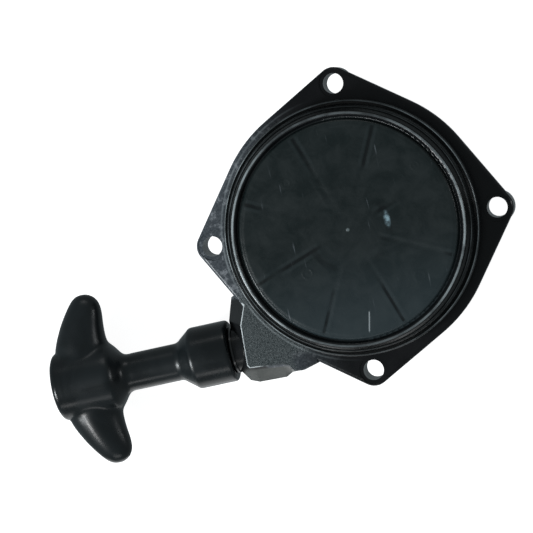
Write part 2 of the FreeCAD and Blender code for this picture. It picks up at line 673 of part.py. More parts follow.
def pull_grip():
    """The moulded T grip with its stem and the collar that seats against the guide."""
    body = revolved_on_rope([
        (COLLAR_X, 0), (COLLAR_X, COLLAR_R - COLLAR_ROUND),
        ((COLLAR_X - COLLAR_ROUND * 0.3, COLLAR_R - COLLAR_ROUND * 0.3), (COLLAR_X - COLLAR_ROUND, COLLAR_R)),
        (CONE_X + 1.0, COLLAR_R),
        ((CONE_X - 0.1, COLLAR_R - 0.25), (CONE_X - 0.9, COLLAR_R - 0.9)),
        (STEM_X + 1.9, STEM_R + 1.2),
        ((STEM_X + 0.6, STEM_R + 0.3), (STEM_X - 1.0, STEM_R)),
        (STEM_END, STEM_R),
        ((STEM_END - 1.4, STEM_R + 0.55), (STEM_END - 2.3, STEM_R + 1.6)),
        (SHOULDER_X, HUB_GRIP_R - 0.9),
        ((SHOULDER_X - 0.6, HUB_GRIP_R - 0.2), (HUB_FULL_X, HUB_GRIP_R)),
        (HUB_END_X, HUB_GRIP_R),
        ((HUB_END_X - 1.0, HUB_GRIP_R - 0.5), (GRIP_END, HUB_GRIP_R - 1.9)),
        (GRIP_END, 0),
    ])
    body = body.fuse([grip_wing(1), grip_wing(-1)])
    body = body.cut(along_rope(GRIP_BORE_R, COLLAR_X + 1, GRIP_END - 1))
    return body.cut(along_rope(KNOT_POCKET_R, KNOT_POCKET_END, GRIP_END - 1)).removeSplitter()


def ball_point(edge_r, height, radius):
    """How far a cap of a ball stands above its rim at this radius; the cap has this rim radius and height."""
    ball = (edge_r ** 2 + height ** 2) / (2 * height)
    return math.sqrt(ball ** 2 - radius ** 2) - (ball - height)


def grip_cap():
    """The domed plug that closes the knot pocket."""
    dome = CAP_THICK - 0.3
    middle = CAP_R / 2
    return revolved_on_rope([
        (GRIP_END + CAP_STUB, 0), (GRIP_END + CAP_STUB, CAP_STUB_R), (GRIP_END, CAP_STUB_R),
        (GRIP_END, CAP_R), (GRIP_END - 0.3, CAP_R),
        ((GRIP_END - 0.3 - ball_point(CAP_R, dome, middle), middle), (GRIP_END - CAP_THICK, 0)),
    ])


def knot_washer():
    """The steel washer that takes the pull of the knot."""
    return along_rope(KNOT_POCKET_R - 0.4, KNOT_POCKET_END, KNOT_POCKET_END - 1.2).cut(
        along_rope(ROPE_R + 0.3, KNOT_POCKET_END + 1, KNOT_POCKET_END - 2))


def grip_knot():
    """The knot at the grip end of the rope."""
    half = math.sqrt(KNOT_R ** 2 - ROPE_R ** 2)
    return revolved_on_rope([
        (KNOT_X - half, ROPE_R), ((KNOT_X, KNOT_R), (KNOT_X + half, ROPE_R)),
    ])


def rope_lead():
    """The straight rope from the reel, through the guide and the stem, to the knot."""
    return along_rope(ROPE_R, -0.3, ROPE_END_X)


def write(name, solids):
    """Writes one sub-part to its STEP file and prints what it is."""
    found = solids if isinstance(solids, list) else [solids]
    flat = [s for shape in found for s in shape.Solids]
    shape = flat[0] if len(flat) == 1 else Part.makeCompound(flat)
    shape.exportStep(os.path.join("parts", name + ".step"))
    print(f"{name}: {len(flat)} solid, {shape.Volume:.0f} mm3, valid {shape.isValid()}")


def main():
    os.makedirs("parts", exist_ok=True)
    write("starter_case", starter_case())
    write("rope_guide", rope_guide())
    write("spring_case", spring_case())
    write("recoil_spring", recoil_spring())
    write("rope_reel", rope_reel())
    write("reel_bush", reel_bush())
    write("rope_windings", rope_windings())
    write("reel_knot", reel_knot())
    write("pawl_pins", pawl_pins())
    write("return_spring", return_spring())
    write("friction_spring", friction_spring())
    for letter, angle in zip("ab", pawl_places()):
        write("pawl_" + letter, turned(pawl(), angle))
    write("guide_plate", guide_plate())
    write("thrust_washer", thrust_washer())
    write("centre_screw", centre_screw())
    write("pull_grip", pull_grip())
    write("grip_cap", grip_cap())
    write("knot_washer", knot_washer())
    write("grip_knot", grip_knot())
    write("rope_lead", rope_lead())


main()
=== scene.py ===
"""Looks of the recoil starter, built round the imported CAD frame. Metres, +Z out of the closed face."""

import math

import bmesh
import bpy
import numpy as np
from mathutils import Matrix, Vector, noise


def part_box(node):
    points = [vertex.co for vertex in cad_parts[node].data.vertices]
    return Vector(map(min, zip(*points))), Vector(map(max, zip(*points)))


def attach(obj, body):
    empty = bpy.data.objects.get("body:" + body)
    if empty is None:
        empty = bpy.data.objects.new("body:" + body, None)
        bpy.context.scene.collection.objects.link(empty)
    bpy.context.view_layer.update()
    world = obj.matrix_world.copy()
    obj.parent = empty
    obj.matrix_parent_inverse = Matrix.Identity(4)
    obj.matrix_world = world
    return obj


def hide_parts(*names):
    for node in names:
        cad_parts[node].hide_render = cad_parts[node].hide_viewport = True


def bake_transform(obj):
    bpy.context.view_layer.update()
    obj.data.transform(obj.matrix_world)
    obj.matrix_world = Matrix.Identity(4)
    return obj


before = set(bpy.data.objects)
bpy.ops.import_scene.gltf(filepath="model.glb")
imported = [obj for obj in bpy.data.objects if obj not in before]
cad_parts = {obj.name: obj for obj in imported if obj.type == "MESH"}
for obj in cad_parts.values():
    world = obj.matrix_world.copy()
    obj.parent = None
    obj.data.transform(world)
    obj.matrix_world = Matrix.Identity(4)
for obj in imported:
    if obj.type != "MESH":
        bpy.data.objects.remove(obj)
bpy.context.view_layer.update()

MM = 0.001

# ---- Places read from the frame -----------------------------------------------------------------
CASE_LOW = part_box("starter_case")[0]
LEAD_LOW, LEAD_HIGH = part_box("rope_lead")
GUIDE_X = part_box("rope_guide")[0].x
ROPE_Y = (LEAD_LOW.y + LEAD_HIGH.y) / 2
ROPE_Z = (LEAD_LOW.z + LEAD_HIGH.z) / 2
ROPE_R = (LEAD_HIGH.z - LEAD_LOW.z) / 2
FLOOR_Z = CASE_LOW.z - 0.3 * MM    # just clear of the rear rim

# ---- Face skin ----------------------------------------------------------------------------------
FACE_TOP = 31.3 * MM           # plane of the face
SKIN_R = 41.7 * MM             # the skin ends on the round of the disc's edge
SKIN_RINGS, SKIN_SEGMENTS = 190, 480
SKIN_LIFT = 0.16               # mm the skin stands above the flat face, so that its relief stays clear of it
EDGE_ROLL = 1.6 * MM           # width over which the skin's edge goes down
EDGE_SINK = 0.03               # mm its edge lies below that plane
RIB_DEPTHS = (0.10, 0.07, 0.11, 0.05, 0.07, 0.09, 0.07, 0.13)    # mm each rib behind the face reads through
RIBS = len(RIB_DEPTHS)
RIB_STEP = 360.0 / RIBS
RIB_TURN = 19.0                # degrees from +X to the first rib
RIB_START = 11.0               # mm from the middle to where the rib lines begin
RING_MARKS = (                 # x, y and radius, mm
    (-19.0, -13.2, 1.9), (23.2, -23.2, 2.0), (-19.5, 22.5, 1.6), (30.5, 18.5, 1.5),
)
CUT_X, CUT_Y = 0.3, -36.0      # mm, middle of the short cut line
CUT_SLANT = 0.22               # how far it leans in x for each step in y
GLINT_CENTRE = (15.6 * MM, 0.8 * MM)    # the painted highlight spot, in x and y
GLINT_HALF = (1.6 * MM, 4.2 * MM)

# ---- Rope ---------------------------------------------------------------------------------------
ROPE_PITCH = 3.6 * MM          # from one turn to the next on the reel
ROPE_HALF_TURNS = 7
ROPE_OUT_R = -ROPE_Y           # the outermost turn, which the straight run leaves
PATH_STEP = 0.5 * MM
STRANDS = 4                    # pairs of strands round the rope
BRAID_LAY = 3.6 * MM           # length of one diamond of the braid
DRAW_RINGS = 420               # rings in the stretch that draws out of the case
KNOT_STRAND = 1.15 * MM        # radius of the rope pulled tight in a knot
KNOT_POINTS = 240
TAIL_POINTS = 20
TAIL_BEND = 2 * MM             # how far the tail goes straight on as it leaves the last turn
TURN_SEGMENTS, RUN_SEGMENTS = 24, 20
RUN_STEP = 1.0 * MM

# ---- Grip ---------------------------------------------------------------------------------------
GRIP_VOXEL = 0.36 * MM
SOFTEN_STEPS = 4
HUB_STEPS = 180                # smoothing steps where the wings and the stem run into the hub
HUB_SHARES = (0.25, 0.5, 0.75, 1.0)
HUB_SPAN = (3.0, 33.0)         # mm from the end of the grip, where that smoothing starts and stops
HUB_FADE = 4.0                 # mm over which it comes in at each end
PARTING_HEIGHT, PARTING_WIDTH = 0.07 * MM, 0.28 * MM

# ---- Paint on the case --------------------------------------------------------------------------
# A pair for a band is the range where it is full. A pair for a ramp is where it starts and where it is full.
# painted highlight lines on the crests: rim, shoulder, step and flange foot
RIM_R, RIM_Z = (44.6 * MM, 45.1 * MM), (31.5 * MM, 31.9 * MM)
SHOULDER_R, SHOULDER_Z = (49.25 * MM, 49.5 * MM), (22.0 * MM, 22.9 * MM)
STEP_R, STEP_Z = (47.0 * MM, 47.2 * MM), (27.6 * MM, 28.1 * MM)
FOOT_R, FOOT_X = (52.0 * MM, 52.4 * MM), (-5 * MM, -25 * MM)
# the steep shoulder, painted darker as shade and given less specular
SLOPES_R, SLOPES_Z = (45.6 * MM, 49.2 * MM), (20 * MM, 21 * MM)
DRUM_Z = (14 * MM, 16 * MM)
TOP_Z = (29.8 * MM, 30.4 * MM)
FACE_EDGE_R = (43.4 * MM, 43.0 * MM)
# painted sheen: the face is lighter towards -Y, as if it reflected brighter surroundings there
FACE_SHEEN_Y = (0.0, -42 * MM)
# where the painted sheen on the flange starts and where it is full, towards -X
SHEEN_X = (-12 * MM, -46 * MM)
CORNER_X, CORNER_Y = (-24 * MM, -30 * MM), (-14 * MM, -20 * MM)
HEEL_X, HEEL_Y = (-37 * MM, -32 * MM), (-41 * MM, -46 * MM)
OUTLET_TOP_R, OUTLET_TOP_Z = (50.4 * MM, 51.2 * MM), (13.45 * MM, 14.0 * MM)
OUTLET_WALL_X, OUTLET_WALL_Y = (-44 * MM, -47 * MM), (-17.0 * MM, -18.5 * MM)
OUTLET_WALL_Z = (13.3 * MM, 13.0 * MM)
# the outlet's lower side, leaning towards -Y, painted lighter as a reflection of the floor
OUTLET_SIDE_X, OUTLET_SIDE_Y = (-56 * MM, -37 * MM), (-45.5 * MM, -47.5 * MM)
OUTLET_SIDE_Z = (4.8 * MM, 11.8 * MM)
# a painted highlight line along the outlet's top edge over its -X wall
EDGE_GLINT_X, EDGE_GLINT_Y = (-46.5 * MM, -48.5 * MM), (-45.5 * MM, -20 * MM)
EDGE_GLINT_Z = (13.05 * MM, 13.5 * MM)

# ---- Paint colours, linear, with the dark one first in a pair -----------------------------------
FACE_TONES = (0.0048, 0.0082, 0.0086), (0.0112, 0.0152, 0.0156)
# colour of the painted sheen on the face towards -Y
FACE_LOW_SHEEN_TONE = (0.030, 0.042, 0.048)
SIDE_TONES = (0.0022, 0.0026, 0.0032), (0.0050, 0.0060, 0.0068)
# painted sheen on the flange, lighter towards -X on the key light's side, broken up by grain and pale specks
SHEEN_TONES = (0.026, 0.032, 0.038), (0.066, 0.074, 0.084)
SHEEN_SPECKS = (0.16, 0.17, 0.185)
# painted shade: the flange's dark side, towards +X
FLANGE_SHADE_TONE = (0.0016, 0.0016, 0.0022)
# colour of the painted shade on the shoulder slopes
SLOPE_SHADE_TONE = (0.0014, 0.0018, 0.0020)
OUTLET_WALL_TONE = (0.0075, 0.0082, 0.0090)
OUTLET_TOP_TONES = (0.010, 0.016, 0.018), (0.060, 0.072, 0.075)
# colours of the painted reflection on the outlet's lower side
OUTLET_SIDE_SHEEN_TONES = (0.038, 0.042, 0.040), (0.060, 0.062, 0.058)
# colour of the painted highlight line on the outlet's edge
EDGE_GLINT_TONE = (0.42, 0.45, 0.46)
# colour of the painted highlight lines on the crests
CREST_HIGHLIGHT_TONE = (0.24, 0.27, 0.28)
# painted shade along the ribs, painted sheen beside them, painted shade in a ring round the hub
RIB_SHADE_TONE, RIB_SHINE, HUB_SHADE_TONE = (0.0020, 0.0030, 0.0035), (0.035, 0.045, 0.048), (0.0030, 0.0045, 0.0050)
PIP_TONE, SCRATCH_TONE = (0.10, 0.12, 0.125), (0.075, 0.085, 0.095)
# the first is the colour of a painted highlight spot on the face
GLINT_TONE, CUT_TONE = (0.20, 0.29, 0.33), (0.20, 0.22, 0.23)

# ---- Studio -------------------------------------------------------------------------------------
FLOOR_HALF = 4.0
FLOOR_GLOW = 0.93
LIGHT_TARGET = Vector((-0.03, -0.01, 0.0))
LIGHTS = (                     # name, place, width, height, watts, colour
    ("left_box", (-1.15, -0.35, 0.90), 0.22, 0.7, 22.0, (0.93, 0.98, 1.0)),
    ("right_box", (1.4, 0.1, 0.5), 0.25, 0.6, 4.0, (0.95, 0.98, 1.0)),
    ("front_box", (-0.2, -1.5, 0.7), 0.9, 0.25, 2.0, (1.0, 1.0, 1.0)),
    ("back_box", (0.1, 1.5, 0.8), 0.9, 0.25, 2.0, (1.0, 1.0, 1.0)),
    ("top_box", (-0.86, -0.58, 0.88), 0.10, 0.14, 3.0, (1.0, 1.0, 1.0)),
    ("under_box", (-0.4, -1.0, -0.8), 1.2, 1.2, 4.0, (1.0, 1.0, 1.0)),
)
SKY_COLOUR, SKY_STRENGTH = (0.84, 0.96, 1.0, 1.0), 0.30
EYE_PLACE = (0.12119, 0.02777, 0.96923)
EYE_RIGHT = Vector((0.96324, -0.22209, -0.15116))
EYE_UP = Vector((0.21344, 0.97434, -0.07148))
LENS, SENSOR = 166.6, 36.0     # mm


# ---- Shader helper ------------------------------------------------------------------------------

class Shader:
    """One material, with short calls for the nodes used here."""

    def __init__(self, name, **sockets):
        self.material = bpy.data.materials.new(name)
        self.material.use_nodes = True
        self.tree = self.material.node_tree
        self.tree.nodes.clear()
        out = self.node("ShaderNodeOutputMaterial")
        self.surface = self.node("ShaderNodeBsdfPrincipled")
        self.tree.links.new(self.surface.outputs["BSDF"], out.inputs["Surface"])
        self.place = self.node("ShaderNodeTexCoord")
        self.spot = self.place.outputs["Object"]
        for socket, value in sockets.items():
            self.set(socket.replace("_", " "), value)

    def node(self, kind, **settings):
        made = self.tree.nodes.new(kind)
        for key, value in settings.items():
            setattr(made, key, value)
        return made

    def feed(self, socket, value):
        """Links a socket to another, or sets it to a number or colour."""
        if isinstance(value, bpy.types.NodeSocket):
            self.tree.links.new(value, socket)
        elif isinstance(value, (tuple, list)) and len(value) == 3 and socket.type == "RGBA":
            socket.default_value = (*value, 1.0)
        else:
            socket.default_value = value

    def set(self, name, value):
        self.feed(self.surface.inputs[name], value)

    def math(self, operation, first, second=0.0):
        made = self.node("ShaderNodeMath", operation=operation)
        self.feed(made.inputs[0], first)
        self.feed(made.inputs[1], second)
        return made.outputs[0]

    def add(self, first, second):
        return self.math("ADD", first, second)

    def times(self, first, second):
        return self.math("MULTIPLY", first, second)

    def minus(self, first, second):
        return self.math("SUBTRACT", first, second)

    def ramp(self, value, low, high, out_low=0.0, out_high=1.0):
        """A smooth step from out_low at low to out_high at high."""
        made = self.node("ShaderNodeMapRange", interpolation_type="SMOOTHSTEP")
        self.feed(made.inputs["Value"], value)
        made.inputs["From Min"].default_value = low
        made.inputs["From Max"].default_value = high
        made.inputs["To Min"].default_value = out_low
        made.inputs["To Max"].default_value = out_high
        return made.outputs["Result"]

    def band(self, value, low, high, soft):
        """1 between low and high, falling to 0 over soft on either side."""
        rise = self.ramp(value, low - soft, low)
        fall = self.ramp(value, high, high + soft, 1.0, 0.0)
        return self.times(rise, fall)

    def stretched(self, x=1.0, y=1.0, z=1.0, spin=0.0):
        """The place on the object, scaled along each axis and then turned about Z."""
        made = self.node("ShaderNodeMapping")
        self.feed(made.inputs["Vector"], self.spot)
        made.inputs["Rotation"].default_value = (0, 0, math.radians(spin))
        made.inputs["Scale"].default_value = (x, y, z)
        return made.outputs["Vector"]

    def noise(self, size, detail=3.0, rough=0.55, vector=None, distortion=0.0):
        """Noise whose features are about this many metres across."""
        made = self.node("ShaderNodeTexNoise")
        self.feed(made.inputs["Vector"], vector or self.spot)
        made.inputs["Scale"].default_value = 1 / size
        made.inputs["Detail"].default_value = detail
        made.inputs["Roughness"].default_value = rough
        made.inputs["Distortion"].default_value = distortion
        return made.outputs["Fac"]

    def cells(self, size):
        """Distance to the middle of the nearest cell, for cells about this many metres across."""
        made = self.node("ShaderNodeTexVoronoi", feature="F1")
        self.feed(made.inputs["Vector"], self.spot)
        made.inputs["Scale"].default_value = 1 / size
        return made.outputs["Distance"]

    def axes(self, vector=None):
        made = self.node("ShaderNodeSeparateXYZ")
        self.feed(made.inputs[0], vector or self.spot)
        return made.outputs

    def mix(self, share, first, second):
        made = self.node("ShaderNodeMix", data_type="RGBA")
        self.feed(made.inputs["Factor"], share)
        self.feed(made.inputs[6], first)
        self.feed(made.inputs[7], second)
        return made.outputs[2]

    def bump(self, height, depth, below=None, strength=1.0):
        """Adds relief of this depth in metres where height goes from 0 to 1."""
        made = self.node("ShaderNodeBump")
        self.feed(made.inputs["Height"], height)
        made.inputs["Distance"].default_value = depth
        made.inputs["Strength"].default_value = strength
        if below is not None:
            self.feed(made.inputs["Normal"], below)
        self.set("Normal", made.outputs["Normal"])
        return made.outputs["Normal"]


# ---- Materials ----------------------------------------------------------------------------------

def painted_crest_highlights(s, x, radius, z):
    """Painted highlight lines along the crests of the case, most on the two ends of the x axis, where the
    side lights fall.
    """
    rim = s.times(s.band(radius, *RIM_R, 0.3 * MM), s.ramp(z, *RIM_Z))
    shoulder = s.times(s.band(radius, *SHOULDER_R, 0.12 * MM), s.band(z, *SHOULDER_Z, 0.2 * MM))
    step = s.times(s.band(radius, *STEP_R, 0.12 * MM), s.band(z, *STEP_Z, 0.2 * MM))
    foot = s.times(s.band(radius, *FOOT_R, 0.25 * MM), s.ramp(x, *FOOT_X))
    patchy = s.ramp(s.noise(9 * MM, 4.0), 0.35, 0.65, 0.35, 1.0)
    ends = s.ramp(s.times(s.math("ABSOLUTE", x), 1 / (45 * MM)), 0.3, 0.95, 0.30, 1.0)
    lines = s.add(s.times(shoulder, 0.85), s.add(s.times(step, 0.3), s.times(foot, 0.45)))
    return s.times(s.add(rim, lines), s.times(patchy, ends))


def outlet_masks(s, x, y, z, radius):
    """Where the outlet's top, wall and side are, and the painted highlight line along the edge over its
    wall.
    """
    corner = s.times(s.ramp(x, *CORNER_X), s.ramp(y, *CORNER_Y))
    heel = s.times(s.ramp(x, *HEEL_X), s.ramp(y, *HEEL_Y))
    top = s.times(s.times(corner, s.minus(1.0, heel)),
                  s.times(s.ramp(radius, *OUTLET_TOP_R), s.band(z, *OUTLET_TOP_Z, 0.1 * MM)))
    wall = s.times(s.ramp(y, *OUTLET_WALL_Y), s.times(s.ramp(x, *OUTLET_WALL_X), s.ramp(z, *OUTLET_WALL_Z)))
    side = s.times(s.times(s.band(x, *OUTLET_SIDE_X, 1.5 * MM), s.ramp(y, *OUTLET_SIDE_Y)),
                   s.band(z, *OUTLET_SIDE_Z, 0.3 * MM))
    edge_glint = s.times(s.times(s.ramp(x, *EDGE_GLINT_X), s.band(y, *EDGE_GLINT_Y, 0.6 * MM)),
                      s.band(z, *EDGE_GLINT_Z, 0.06 * MM))
    return top, wall, side, edge_glint


def black_casting(name, scuffed_and_shaded=False):
    """Satin black paint over a die casting: orange peel and blotches, with painted light and shade: a sheen
    lighter towards -X, highlight lines on the crests, shade on the slopes, a highlight line on the outlet's
    edge and a sheen on its lower side.
    """
    s = Shader(name, IOR=1.5)
    x, y, z = s.axes()
    radius = s.math("SQRT", s.add(s.times(x, x), s.times(y, y)))
    blotch = s.noise(9 * MM, 5.0, 0.65, distortion=0.5)
    fine = s.noise(0.5 * MM, 2.0)
    grain = s.noise(0.8 * MM, 4.0, 0.75)
    spots = s.noise(2.4 * MM, 5.0, 0.7)
    top, wall, side, edge_glint = outlet_masks(s, x, y, z, radius)
    slopes = s.times(s.band(radius, *SLOPES_R, 0.3 * MM), s.ramp(z, *SLOPES_Z))
    face = s.mix(s.ramp(blotch, 0.3, 0.7), *FACE_TONES)
    # painted sheen: the face grows lighter towards -Y
    face = s.mix(s.ramp(y, *FACE_SHEEN_Y, 0.0, 0.5), face, FACE_LOW_SHEEN_TONE)
    sides = s.mix(s.ramp(blotch, 0.3, 0.7), *SIDE_TONES)
    # painted sheen on the flange towards -X, and painted shade on its +X side
    left_sheen = s.mix(s.ramp(grain, 0.35, 0.65), *SHEEN_TONES)
    left_sheen = s.mix(s.ramp(spots, 0.52, 0.66), left_sheen, SHEEN_SPECKS)
    flange = s.mix(s.ramp(x, *SHEEN_X), FLANGE_SHADE_TONE, left_sheen)
    flange = s.mix(wall, flange, OUTLET_WALL_TONE)
    paint = s.mix(s.ramp(z, *DRUM_Z), flange, sides)
    paint = s.mix(s.ramp(z, *TOP_Z), paint, s.mix(s.ramp(radius, *FACE_EDGE_R), sides, face))
    # painted shade on the steep shoulder slopes
    paint = s.mix(slopes, paint, SLOPE_SHADE_TONE)
    rough_cast = s.mix(s.ramp(grain, 0.34, 0.66), *OUTLET_TOP_TONES)
    paint = s.mix(top, paint, rough_cast)
    # painted reflection: the outlet's lower side is lighter, as if it mirrored the floor
    paint = s.mix(side, paint, s.mix(s.ramp(blotch, 0.3, 0.7), *OUTLET_SIDE_SHEEN_TONES))
    # painted highlight line on the outlet's top edge
    paint = s.mix(edge_glint, paint, EDGE_GLINT_TONE)
    # painted highlight lines on the crests, with more specular there too
    crest_light = painted_crest_highlights(s, x, radius, z)
    paint = s.mix(crest_light, paint, CREST_HIGHLIGHT_TONE)
    gloss = s.add(s.ramp(blotch, 0.3, 0.7, 0.25, 0.34), s.times(top, 0.15))
    if scuffed_and_shaded:
        paint, gloss = scuffs_and_painted_light(s, x, y, radius, paint, gloss)
    s.set("Base Color", paint)
    s.set("Roughness", gloss)
    s.set("Specular IOR Level", s.minus(s.add(0.25, s.times(crest_light, 0.25)), s.times(slopes, 0.20)))
    peel = s.bump(s.noise(2.2 * MM, 3.0), 0.06 * MM, strength=0.5)
    cast = s.bump(s.times(grain, s.add(top, 0.12)), 0.35 * MM, peel, 0.9)
    s.bump(fine, 0.012 * MM, cast, 0.6)
    return s.material


def scuffs_and_painted_light(s, x, y, radius, paint, gloss):
    """Marks on the face: painted shade along the ribs with a painted sheen beside them, painted shade in a
    ring round the hub, a pip, scratches, a painted highlight spot and a cut line.
    """
    turn = s.math("DEGREES", s.math("ARCTAN2", y, x))
    off = s.minus(s.math("FLOORED_MODULO", s.add(turn, RIB_STEP / 2 - RIB_TURN), RIB_STEP), RIB_STEP / 2)
    across = s.math("ABSOLUTE", s.times(radius, s.math("SINE", s.math("RADIANS", off))))
    patchy = s.ramp(s.noise(24 * MM, 3.0), 0.42, 0.58)
    along = s.times(s.ramp(radius, RIB_START * MM, 15 * MM), patchy)
    # painted shade along the rib sinks and a painted sheen beside them
    paint = s.mix(s.times(s.ramp(across, 0.8 * MM, 0.35 * MM), s.times(along, 0.85)), paint, RIB_SHADE_TONE)
    beside = s.times(s.band(across, 1.3 * MM, 1.7 * MM, 0.7 * MM), s.times(along, 0.16))
    paint = s.mix(beside, paint, RIB_SHINE)
    # painted shade in a ring round the hub
    hub = s.times(s.band(radius, 15.2 * MM, 16.4 * MM, 1.2 * MM), s.ramp(s.noise(12 * MM, 2.0), 0.45, 0.6))
    paint = s.mix(s.times(hub, 0.55), paint, HUB_SHADE_TONE)
    pip = s.ramp(radius, 0.9 * MM, 0.3 * MM)
    paint = s.mix(pip, paint, PIP_TONE)
    scratch = s.noise(1.3 * MM, 2.0, 0.5, s.stretched(1.0, 0.06, 1.0, spin=-12.5))
    lines = s.times(s.ramp(scratch, 0.66, 0.74), s.ramp(s.noise(11 * MM, 2.0), 0.5, 0.62))
    paint = s.mix(s.times(lines, 0.6), paint, SCRATCH_TONE)
    # painted highlight: a small bluish spot on the face
    dx = s.times(s.minus(x, GLINT_CENTRE[0]), 1 / GLINT_HALF[0])
    dy = s.times(s.minus(y, GLINT_CENTRE[1]), 1 / GLINT_HALF[1])
    reach = s.math("SQRT", s.add(s.times(dx, dx), s.times(dy, dy)))
    glint_spot = s.times(s.ramp(reach, 1.0, 0.2), s.ramp(s.noise(1.6 * MM, 4.0), 0.30, 0.72))
    paint = s.mix(glint_spot, paint, GLINT_TONE)
    lean = s.times(s.add(y, -CUT_Y * MM), CUT_SLANT)
    cut_across = s.math("ABSOLUTE", s.minus(s.minus(x, CUT_X * MM), lean))
    cut_along = s.band(y, (CUT_Y - 3.5) * MM, (CUT_Y + 3.0) * MM, 1.0 * MM)
    cut = s.times(s.ramp(cut_across, 0.35 * MM, 0.15 * MM), cut_along)
    paint = s.mix(cut, paint, CUT_TONE)
    return paint, s.add(gloss, s.times(lines, 0.1))


def moulded_black(name, colour, rough, grain_size=0.6 * MM, speck=0.0, specular=0.5):
    """Satin moulded plastic: fine spark texture, soft flow marks and handling shine."""
    s = Shader(name, IOR=1.49, Specular_IOR_Level=specular)
    flow = s.noise(18 * MM, 3.0, 0.5, distortion=0.8)
    fine = s.noise(grain_size, 2.0)
    lighter = tuple(c * 1.7 + 0.001 for c in colour)
    body = s.mix(s.ramp(flow, 0.35, 0.65), colour, lighter)
    if speck:
        glass = s.ramp(s.noise(0.25 * MM, 2.0, 0.5, s.stretched(1.0, 0.3, 1.0)), 0.62, 0.72)
        body = s.mix(s.times(glass, speck), body, (0.12, 0.12, 0.12))
    s.set("Base Color", body)
    s.set("Roughness", s.add(s.ramp(flow, 0.3, 0.7, rough - 0.05, rough + 0.05), s.times(fine, 0.04)))
    waves = s.bump(s.noise(7 * MM, 2.0), 0.10 * MM, strength=0.3)
    s.bump(fine, 0.015 * MM, waves, 0.6)
    return s.material


def metal(name, colour, dark, rough, brush=(1.0, 1.0, 1.0), size=0.6 * MM):
    """Bare or plated metal: brushed or tumbled marks and duller patches."""
    s = Shader(name, Metallic=1.0)
    marks = s.noise(size, 3.0, 0.6, s.stretched(*brush))
    patch = s.noise(6 * MM, 4.0, 0.6)
    s.set("Base Color", s.mix(s.ramp(patch, 0.35, 0.7), colour, dark))
    s.set("Roughness", s.add(s.ramp(marks, 0.3, 0.7, rough - 0.07, rough + 0.07),
                             s.ramp(patch, 0.4, 0.8, 0.0, 0.12)))
    s.bump(marks, 0.01 * MM, strength=0.5)
    return s.material


def blued_strip(name):
    """Blued and oiled spring strip, with straw and blue bands."""
    s = Shader(name, Metallic=1.0)
    band = s.noise(5 * MM, 3.0)
    tint = s.mix(s.ramp(band, 0.35, 0.65), (0.16, 0.19, 0.27), (0.34, 0.32, 0.30))
    s.set("Base Color", tint)
    s.set("Roughness", s.ramp(s.noise(1.0 * MM, 3.0, 0.5, s.stretched(1, 1, 0.1)), 0.3, 0.7, 0.22, 0.36))
    s.bump(s.noise(0.4 * MM, 2.0, 0.5, s.stretched(0.2, 0.2, 1.0)), 0.01 * MM, strength=0.4)
    return s.material


def sintered_bronze(name):
    """Oil-filled sintered bronze: fine pores in a dull, warm metal."""
    s = Shader(name, Metallic=1.0)
    pores = s.ramp(s.cells(0.35 * MM), 0.12, 0.3)
    s.set("Base Color", s.mix(pores, (0.12, 0.07, 0.03), (0.58, 0.37, 0.17)))
    s.set("Roughness", s.ramp(s.noise(2 * MM, 3.0), 0.3, 0.7, 0.38, 0.55))
    s.bump(pores, 0.03 * MM, strength=0.6)
    return s.material


def braid(name, along_x):
    """Braided cord: diamonds of pale strands with a dark tracer, painted shade in the gaps between them, and
    fine fibres in each strand.
    """
    s = Shader(name, Sheen_Weight=0.25, Sheen_Roughness=0.6)
    if along_x:
        x, y, z = s.axes()
        turn = s.math("ARCTAN2", s.minus(z, ROPE_Z), s.minus(y, ROPE_Y))
        run = s.times(x, math.pi / BRAID_LAY)
    else:
        u, v, _ = s.axes(s.place.outputs["UV"])
        turn = s.times(u, 2 * math.pi)
        run = s.times(v, math.pi / BRAID_LAY)
    around = s.times(turn, STRANDS)
    over = s.math("COSINE", s.add(around, run))
    under = s.math("COSINE", s.minus(around, run))
    plait = s.math("MAXIMUM", over, under)
    tracer = s.times(s.ramp(s.math("COSINE", s.add(turn, s.times(run, 1 / STRANDS))), 0.72, 0.86),
                     s.ramp(s.minus(over, under), -0.1, 0.1))
    fibres = s.noise(0.18 * MM, 2.0, 0.5, s.stretched(0.35, 1.0, 1.0))
    soil = s.noise(9 * MM, 3.0)
    pale = s.mix(s.ramp(soil, 0.4, 0.75), (0.56, 0.54, 0.49), (0.40, 0.38, 0.34))
    # painted shade in the gaps between the strands
    pale = s.mix(s.ramp(plait, 0.3, -0.6), pale, (0.20, 0.19, 0.17))
    s.set("Base Color", s.mix(tracer, pale, (0.03, 0.032, 0.035)))
    s.set("Roughness", s.ramp(fibres, 0.3, 0.7, 0.6, 0.8))
    relief = s.bump(plait, 0.10 * MM, strength=0.7 if along_x else 0.3)
    s.bump(fibres, 0.03 * MM, relief, 0.6)
    return s.material


CAST = black_casting("cast_black")
CAST_FACE = black_casting("cast_black_face", scuffed_and_shaded=True)
GRIP = moulded_black("grip_black", (0.0024, 0.0037, 0.0044), 0.26, specular=0.35)
GUIDE = moulded_black("guide_black", (0.006, 0.006, 0.0065), 0.22, 0.4 * MM)
NYLON = moulded_black("reel_nylon", (0.022, 0.022, 0.024), 0.45, 0.5 * MM, speck=0.35)
STRIP = blued_strip("blued_strip")
SPRING_WIRE = metal("spring_wire", (0.36, 0.36, 0.37), (0.18, 0.18, 0.19), 0.32, (1, 1, 1), 0.3 * MM)
PRESSED = metal("pressed_steel", (0.62, 0.62, 0.61), (0.40, 0.40, 0.39), 0.34, (1, 1, 0.15), 0.7 * MM)
PLATE = metal("zinc_plate", (0.66, 0.66, 0.64), (0.46, 0.46, 0.46), 0.30, (0.25, 1, 1), 0.5 * MM)
SCREW = metal("zinc_screw", (0.60, 0.60, 0.58), (0.36, 0.36, 0.35), 0.27, (1, 1, 1), 0.35 * MM)
